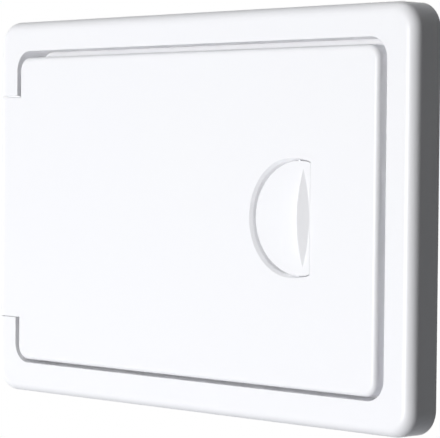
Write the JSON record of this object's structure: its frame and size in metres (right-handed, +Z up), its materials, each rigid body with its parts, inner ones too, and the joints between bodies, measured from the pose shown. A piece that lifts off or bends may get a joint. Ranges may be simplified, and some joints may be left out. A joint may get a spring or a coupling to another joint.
{
  "type": "inspection hatch",
  "caption": "Wall-mounted moulded inspection hatch: deep rounded frame, side-hinged door on a long barrel hinge and a half-moon pull flap that draws a sliding bolt.",
  "frame": {"origin": "on the wall face of the frame, in the middle of its lower rim", "axes": "+Z up, the front faces -Y, +X to the latch side"},
  "size_m": [0.38, 0.0533, 0.25],
  "materials": {
    "white_moulding": "satin gloss",
    "grey_moulding": "matt",
    "pin_steel": "drawn",
    "seal_rubber": "matt"
  },
  "bodies": {
    "frame_body": {"frame": "white_moulding", "hinge_pin": "pin_steel", "door_seal": "seal_rubber"},
    "door_body": {"door": "white_moulding", "pivot_pin": "pin_steel", "bolt_guide": "grey_moulding"},
    "flap_body": {"pull_flap": "white_moulding"},
    "bolt_body": {"latch_bolt": "grey_moulding"}
  },
  "joints": [
    {"name": "door_hinge", "type": "hinge", "parent": "frame_body", "child": "door_body", "pos_m": [-0.183, -0.016, 0.1235], "axis": [0, 0, -1], "range_deg": [0, 120]},
    {"name": "flap_pivot", "type": "hinge", "parent": "door_body", "child": "flap_body", "pos_m": [0.0975, -0.0198, 0.12275], "axis": [0, 0, 1], "range_deg": [0, 28], "stiffness_Nm_per_rad": 0.04},
    {"name": "bolt_slide", "type": "slide", "parent": "door_body", "child": "bolt_body", "axis": [-1, 0, 0], "range_m": [0, 0.0063]}
  ],
  "couplings": [
    {"joint": "bolt_slide", "follows": "flap_pivot", "m_per_rad": 0.0127}
  ]
}
